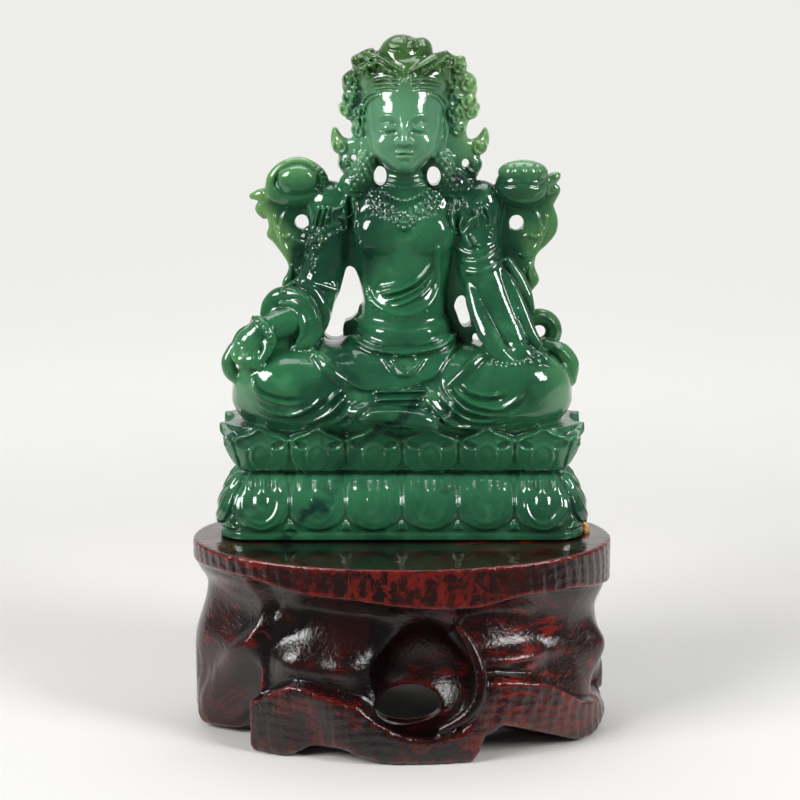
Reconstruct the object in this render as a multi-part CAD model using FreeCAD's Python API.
"""Carved jade figurine of a seated figure on a double-lotus throne, glued to a carved wooden stand.

Frame: millimetres, +Z up. The origin is the centre of the stand's footprint on the table.
The figure faces -Y. Left and right in names are the viewer's, seen from the front.
"""

import FreeCAD, Part
import math
import os

V = FreeCAD.Vector

# ---------------------------------------------------------------- driving dimensions
STAND_WIDTH = 129.0
STAND_DEPTH = 80.0
STAND_HEIGHT = 60.0
RIM_HEIGHT = 13.0
WALL = 10.5

GLUE_FILM = 0.4
CARVING_HEIGHT = 151.6
CARVING_Z = STAND_HEIGHT + GLUE_FILM
THRONE_CENTRE_Y = 10.75
THRONE_HALF_WIDTH = 56.5
THRONE_HALF_DEPTH = 20.25
THRONE_WAIST_Z = 19.5
THRONE_TOP_Z = 34.0
PETALS_PER_TIER = 16

FIGURE_Y = 11.0
SHOULDER_HALF_WIDTH = 25.0
SHOULDER_Z = 101.0
HEAD_CENTRE = (0.8, 5.5, 122.0)
HEAD_RADII = (11.2, 12.5, 14.5)
FLOWER_Z = 109.0
FLOWER_OFFSET = 34.5

os.makedirs("parts", exist_ok=True)


# ---------------------------------------------------------------- building blocks
def ball(centre, radius):
    """A solid sphere whose surface is two half shells."""
    half = Part.makeSphere(radius, V(0, 0, 0), V(0, 0, 1), -90, 90, 180)
    other = half.copy()
    other.rotate(V(0, 0, 0), V(0, 0, 1), 180)
    whole = half.fuse(other)
    whole.translate(V(*centre))
    return whole.Solids[0]


def ellipsoid(centre, radii, tilt_axis=V(0, 1, 0), tilt_deg=0.0):
    """A solid ellipsoid, turned by tilt_deg about tilt_axis through its own centre."""
    stretch = FreeCAD.Matrix()
    stretch.scale(*radii)
    solid = ball((0, 0, 0), 1.0).transformGeometry(stretch)
    solid.rotate(V(0, 0, 0), tilt_axis, tilt_deg)
    solid.translate(V(*centre))
    return solid


def limb(start, end, start_radius, end_radius):
    """A tapered limb with a ball at each end."""
    a, b = V(*start), V(*end)
    run = b - a
    shaft = Part.makeCone(start_radius, end_radius, run.Length, a, run)
    return shaft.multiFuse([ball(start, start_radius), ball(end, end_radius)])


def ellipse_wire(half_width, half_depth, z, centre_y=0.0):
    """An ellipse in a level plane."""
    wide = half_width >= half_depth
    long_side, short_side = (half_width, half_depth) if wide else (half_depth, half_width)
    curve = Part.Ellipse(V(0, 0, 0), long_side, short_side)
    wire = Part.Wire([curve.toShape()])
    if not wide:
        wire.rotate(V(0, 0, 0), V(0, 0, 1), 90)
    wire.translate(V(0, centre_y, z))
    return wire


def rounded_rectangle(half_width, half_depth, corner, z, centre_y):
    """A level rectangle with round corners."""
    x, y = half_width - corner, half_depth - corner
    diagonal = corner * math.sqrt(0.5)
    edges = []
    corners = [(x, y, 0), (-x, y, 90), (-x, -y, 180), (x, -y, 270)]
    for index, (cx, cy, turn) in enumerate(corners):
        a, m, b = (math.radians(turn + step) for step in (0, 45, 90))
        points = [V(cx + corner * math.cos(t), cy + corner * math.sin(t), 0) for t in (a, m, b)]
        edges.append(Part.Arc(*points).toShape())
        nx, ny, nturn = corners[(index + 1) % 4]
        start = math.radians(nturn)
        following = V(nx + corner * math.cos(start), ny + corner * math.sin(start), 0)
        edges.append(Part.makeLine(points[2], following))
    wire = Part.Wire(edges)
    wire.translate(V(0, centre_y, z))
    return wire


def plate(outline, y_front, y_back):
    """A flat slab with a smooth closed outline given in (x, z)."""
    curve = Part.BSplineCurve()
    curve.interpolate([V(x, y_front, z) for x, z in outline], PeriodicFlag=True)
    face = Part.Face(Part.Wire([curve.toShape()]))
    return face.extrude(V(0, y_back - y_front, 0))


def mirrored(points):
    """The same (x, z) outline on the other side of the centre plane."""
    return [(-x, z) for x, z in reversed(points)]


# ---------------------------------------------------------------- jade carving
def throne_ring(inset, z):
    """Evenly spaced places round the throne: (x, y, outward angle in degrees)."""
    half_width, half_depth = THRONE_HALF_WIDTH - inset, THRONE_HALF_DEPTH - inset
    corner = min(13.0, half_depth - 1.0)
    wire = rounded_rectangle(half_width, half_depth, corner, z, THRONE_CENTRE_Y)
    places = wire.discretize(4 * PETALS_PER_TIER * 5)
    perimeter = wire.Length
    front = min(range(len(places)), key=lambda i: abs(places[i].x) + 3 * places[i].y)
    pitch = (len(places) - 1) / PETALS_PER_TIER
    ring = []
    for k in range(PETALS_PER_TIER):
        i = int(round(front + (k + 0.5) * pitch)) % (len(places) - 1)
        before, after = places[i - 1], places[(i + 1) % (len(places) - 1)]
        along = math.degrees(math.atan2(after.y - before.y, after.x - before.x))
        ring.append((places[i].x, places[i].y, along - 90.0))
    return ring, perimeter / PETALS_PER_TIER


def petal_tier(inset, z, height, lean_deg):
    """One ring of bulging petals that lean outwards at lean_deg from upright."""
    ring, pitch = throne_ring(inset, z)
    petals = []
    for x, y, outward in ring:
        petal = ellipsoid((0, 0, 0), (3.6, pitch * 0.52, height / 2), V(0, 1, 0), lean_deg)
        petal.rotate(V(0, 0, 0), V(0, 0, 1), outward)
        petal.translate(V(x, y, z))
        petals.append(petal)
    return petals


def throne():
    """The double-lotus base: a hanging tier below, an upright tier above."""
    lower = [(0.0, 0.0), (0.5, 3.0), (1.5, 9.0), (4.0, 14.5), (8.0, THRONE_WAIST_Z)]
    upper = [(8.0, THRONE_WAIST_Z), (5.5, 24.0), (3.6, 29.0), (3.2, THRONE_TOP_Z - 1.0)]
    solids = []
    for profile in (lower, upper):
        sections = []
        for inset, z in profile:
            half_depth = THRONE_HALF_DEPTH - inset * 0.75
            half_width = THRONE_HALF_WIDTH - inset
            sections.append(
                rounded_rectangle(half_width, half_depth, min(12.0, half_depth - 0.8), z, THRONE_CENTRE_Y)
            )
        solids.append(Part.makeLoft(sections, True, True))
    solids += petal_tier(inset=2.6, z=10.5, height=17.0, lean_deg=-20.0)
    solids += petal_tier(inset=4.6, z=27.5, height=16.0, lean_deg=24.0)
    return solids


def body():
    """Crossed legs, lap, torso, neck and head."""
    torso_sections = [
        (20.0, 13.0, 42.0),
        (18.5, 12.0, 52.0),
        (16.0, 10.5, 61.0),
        (13.3, 9.3, 71.0),
        (15.0, 10.3, 82.0),
        (18.0, 11.3, 92.0),
        (20.0, 9.5, 101.0),
        (12.0, 7.0, 107.0),
    ]
    rings = [ellipse_wire(w, d, z, FIGURE_Y) for w, d, z in torso_sections]
    shoulders = ellipsoid((0, FIGURE_Y + 0.5, SHOULDER_Z - 1.0), (27.0, 8.6, 7.2))
    knees = [ellipsoid((side * 31.0, 5.5, 43.5), (20.5, 20.0, 10.6)) for side in (-1, 1)]
    lap = ellipsoid((0, 2.5, 40.0), (31.0, 17.0, 9.0))
    folded_foot = ellipsoid((-2.0, -11.0, 38.0), (25.0, 7.0, 5.2), V(0, 1, 0), 6.0)
    neck = Part.makeCone(6.6, 6.0, 14.0, V(0.8, FIGURE_Y - 1.5, 102.0), V(0, -0.12, 1))
    head = ellipsoid(HEAD_CENTRE, HEAD_RADII)
    return [Part.makeLoft(rings, True, False), shoulders, *knees, lap, folded_foot, neck, head]


def headdress():
    """The crown's fan, its side scrolls and the topknot above it."""
    fan = ellipsoid((1.2, 11.5, 127.5), (20.6, 5.6, 19.5))
    band = ellipsoid((1.0, 7.5, 133.5), (14.5, 11.0, 8.0))
    topknot = ellipsoid((1.2, 9.0, CARVING_HEIGHT - 7.2), (8.8, 7.0, 7.2))
    lobes = [ellipsoid((1.2 + side * 22.2, 11.0, 118.5), (3.4, 3.2, 6.4)) for side in (-1, 1)]
    tassels = [ellipsoid((1.2 + side * 15.5, 9.5, 109.0), (6.0, 5.0, 8.0)) for side in (-1, 1)]
    return [fan, band, topknot, *lobes, *tassels]


def arms():
    """Both arms. The left hand rests open over the knee and the right hand lies on the thigh."""
    shoulder_y = FIGURE_Y
    left_elbow, left_wrist = (-30.0, 9.5, 73.5), (-42.0, -5.5, 64.5)
    right_elbow, right_wrist = (27.5, 8.5, 81.0), (35.0, -0.5, 60.5)
    return [
        limb((-SHOULDER_HALF_WIDTH, shoulder_y, SHOULDER_Z - 1.5), left_elbow, 7.0, 5.8),
        limb(left_elbow, left_wrist, 5.8, 4.6),
        ellipsoid((-47.0, -8.5, 57.5), (5.0, 4.6, 8.5), V(0, 1, 0), 25.0),
        limb((SHOULDER_HALF_WIDTH, shoulder_y, SHOULDER_Z - 1.5), right_elbow, 7.0, 6.2),
        limb(right_elbow, right_wrist, 6.2, 4.7),
        ellipsoid((38.0, -4.0, 55.0), (7.0, 4.6, 5.0), V(0, 1, 0), 25.0),
        limb((22.5, 0.5, 72.0), (34.0, -5.0, 56.0), 2.6, 3.0),
    ]


def flowers():
    """A lotus flower at each shoulder on a pierced leaf panel, and the scarf loop by the right hip."""
    panel = [
        (-24.0, 101.0),
        (-33.0, 104.0),
        (-43.5, 101.0),
        (-42.0, 90.0),
        (-36.0, 83.0),
        (-37.0, 75.5),
        (-32.0, 69.0),
        (-26.5, 74.0),
        (-25.0, 88.0),
    ]
    solids = []
    for side, outline in ((-1, panel), (1, mirrored(panel))):
        leaf = plate(outline, 8.0, 15.0)
        hole = Part.makeCylinder(2.1, 30.0, V(side * 32.2, -5.0, 95.0), V(0, 1, 0))
        solids.append(leaf.cut(hole))
        solids.append(ellipsoid((side * FLOWER_OFFSET, 10.0, FLOWER_Z), (9.8, 8.0, 6.6)))
        solids.append(
            ellipsoid((side * (FLOWER_OFFSET + 9.0), 10.5, 105.5), (4.6, 3.6, 2.2), V(0, 1, 0), side * -20.0)
        )
    ring = Part.makeTorus(4.7, 2.7, V(41.0, 10.0, 62.0), V(0, 1, 0))
    tail = ellipsoid((47.0, 8.5, 54.5), (4.6, 4.4, 7.4), V(0, 1, 0), -20.0)
    return solids + [ring, tail]


def jade_carving():
    """The whole carving as one stone, resting on its glue."""
    groups = [throne(), body(), headdress(), arms(), flowers()]
    stone = None
    for group in groups:
        block = group[0].multiFuse(group[1:]) if len(group) > 1 else group[0]
        stone = block if stone is None else stone.fuse(block)
    slab = Part.makeBox(200.0, 100.0, CARVING_HEIGHT + 1.0, V(-100.0, -50.0, 0.0))
    stone = stone.common(slab)
    stone.translate(V(0, 0, CARVING_Z))
    return stone


# ---------------------------------------------------------------- wooden stand
def wood_stand():
    """A carved root-form stand: oval rim, waisted wall, hollow underside, arched skirt, front opening."""
    half_width, half_depth = STAND_WIDTH / 2, STAND_DEPTH / 2
    rim_z = STAND_HEIGHT - RIM_HEIGHT
    rim = Part.Face(ellipse_wire(half_width, half_depth, rim_z)).extrude(V(0, 0, RIM_HEIGHT))
    wall_profile = [(0.0, 1.2), (14.0, 1.8), (24.0, 5.0), (36.0, 7.5), (rim_z + 0.5, 3.5)]
    wall = Part.makeLoft([ellipse_wire(half_width - i, half_depth - i, z) for z, i in wall_profile], True)
    inside_the_plank = Part.Face(ellipse_wire(half_width, half_depth, 0.0)).extrude(V(0, 0, STAND_HEIGHT))
    wall = wall.common(inside_the_plank)
    stand = rim.fuse(wall)
    hollow = ellipsoid((0, 0, 0), (half_width - WALL, half_depth - WALL, rim_z - 6.0))
    stand = stand.cut(hollow)
    arches = [(-112.0, 13.0), (-168.0, 7.0), (-46.0, 11.0), (5.0, 10.0), (52.0, 12.0), (98.0, 12.0), (145.0, 11.0)]
    for angle, radius in arches:
        outward = V(math.cos(math.radians(angle)), math.sin(math.radians(angle)), 0)
        arch = Part.makeCylinder(radius, 80.0, V(0, 0, -radius * 0.45), outward)
        stand = stand.cut(arch)
    front_hole = Part.makeCylinder(8.0, 40.0, V(3.0, -50.0, 19.0), V(0, 1, 0))
    back_hole = Part.makeCylinder(8.0, 40.0, V(-12.0, 50.0, 21.0), V(0, -1, 0))
    return stand.cut(front_hole).cut(back_hole)


# ---------------------------------------------------------------- adhesive
def adhesive_dabs():
    """Dabs of adhesive squeezed flat between the stone and the stand."""
    places = [(-42.0, 2.0), (-42.0, 21.0), (42.0, 2.0), (42.0, 21.0), (0.0, THRONE_CENTRE_Y)]
    discs = [Part.makeCylinder(5.0, GLUE_FILM, V(x, y, STAND_HEIGHT)) for x, y in places]
    return Part.makeCompound(discs)


def adhesive_bead(stone):
    """The bead of adhesive that squeezed out beside the throne's right-hand end."""
    bead = ellipsoid((THRONE_HALF_WIDTH + 0.4, 4.0, STAND_HEIGHT + 0.6), (1.7, 3.4, 1.9))
    above_wood = Part.makeBox(20.0, 20.0, 10.0, V(THRONE_HALF_WIDTH - 10.0, -6.0, STAND_HEIGHT))
    return bead.common(above_wood).cut(stone)


def save(name, shape):
    """Writes one node's STEP file."""
    shape.exportStep(f"parts/{name}.step")


stone = jade_carving()
save("jade_carving", stone)
save("wood_stand", wood_stand())
save("adhesive_dabs", adhesive_dabs())
save("adhesive_bead", adhesive_bead(stone))
